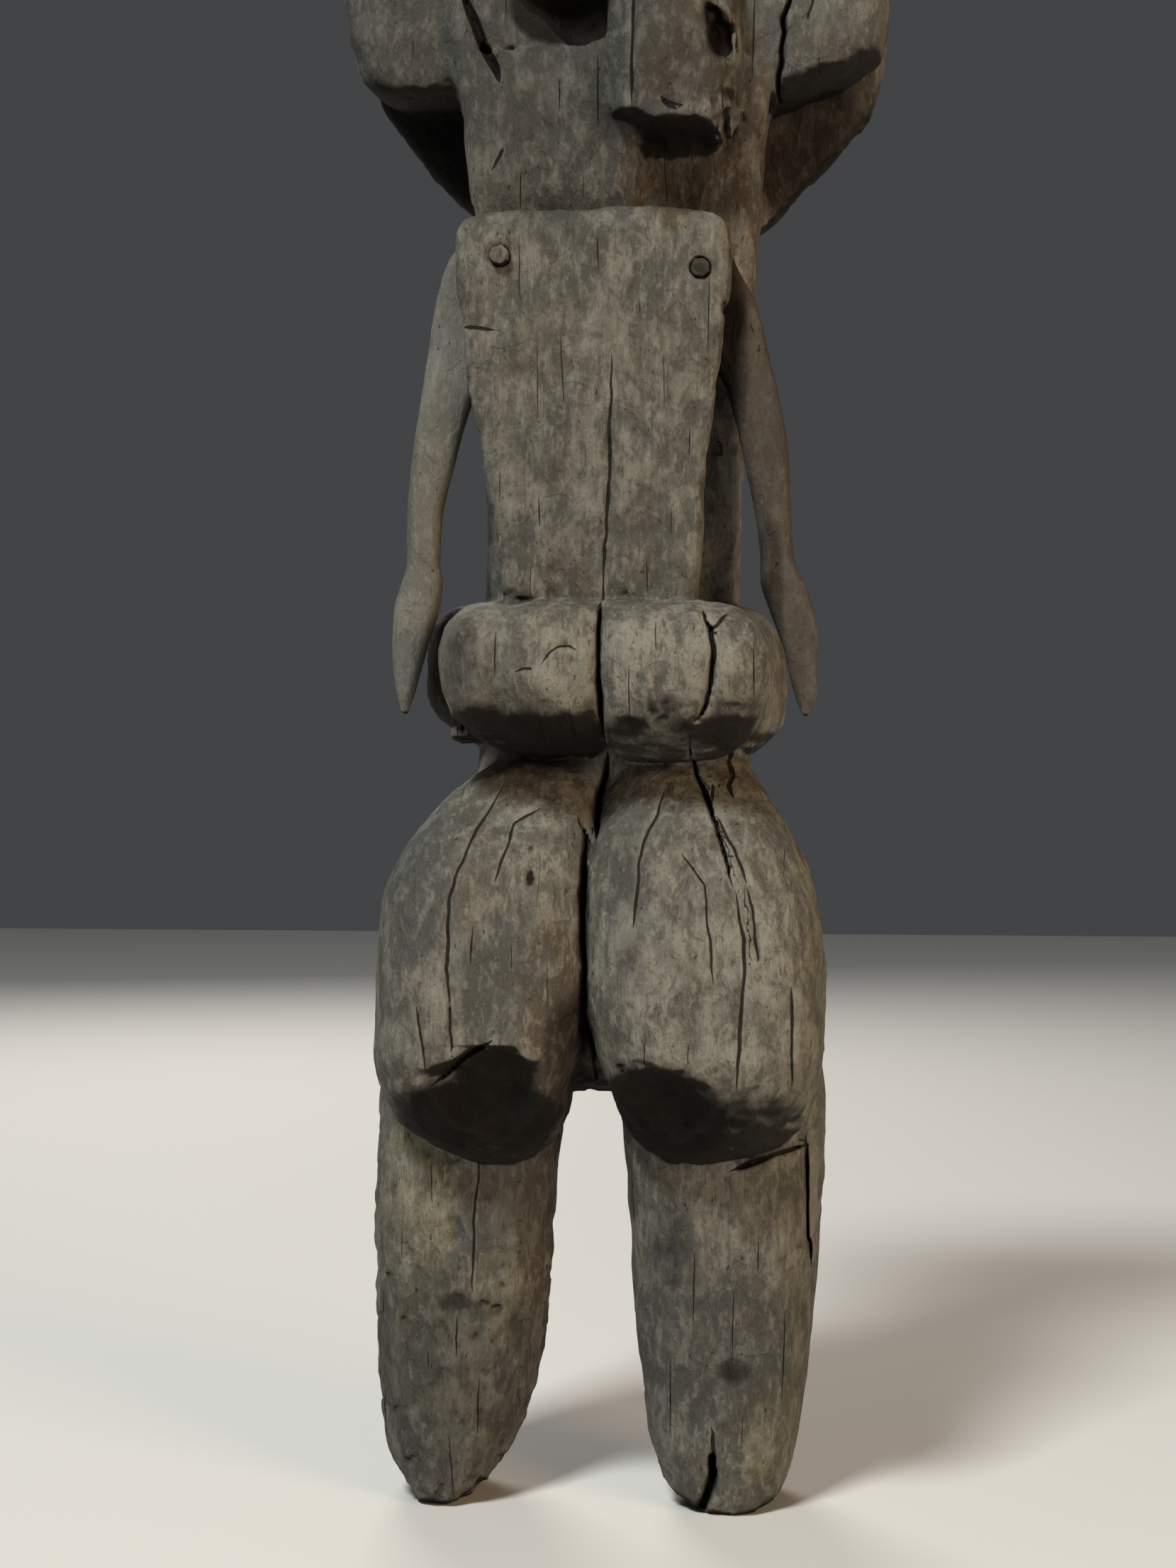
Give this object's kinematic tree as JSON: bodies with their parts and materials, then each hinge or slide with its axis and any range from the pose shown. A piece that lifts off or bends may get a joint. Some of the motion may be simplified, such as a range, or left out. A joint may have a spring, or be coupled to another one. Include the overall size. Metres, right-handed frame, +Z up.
{
  "type": "carved maternity figure",
  "caption": "Tall weathered hardwood carving of a mother with a child on her back; loose carved arms hang on wooden pegs.",
  "frame": {"origin": "under the middle of the whole figure, in the plane of the two leg stumps' flat undersides", "axes": "+Z up along the log; the child on the mother's back faces -Y and the mother's face looks along +Y; +X is to the right of someone who looks at the child"},
  "size_m": [0.3424, 0.2484, 1.073],
  "materials": {
    "weathered_wood": "dry grey-brown weathered hardwood, matt, with dirt, fine grain and drying cracks",
    "arm_wood": "smoother grey-brown hardwood, matt, worn by handling",
    "peg_wood": "darker end-grain hardwood peg, matt"
  },
  "bodies": {
    "root": {"carved_figure": "weathered_wood", "left_arm": "arm_wood", "right_arm": "arm_wood", "left_arm_peg": "peg_wood", "right_arm_peg": "peg_wood"}
  },
  "joints": []
}
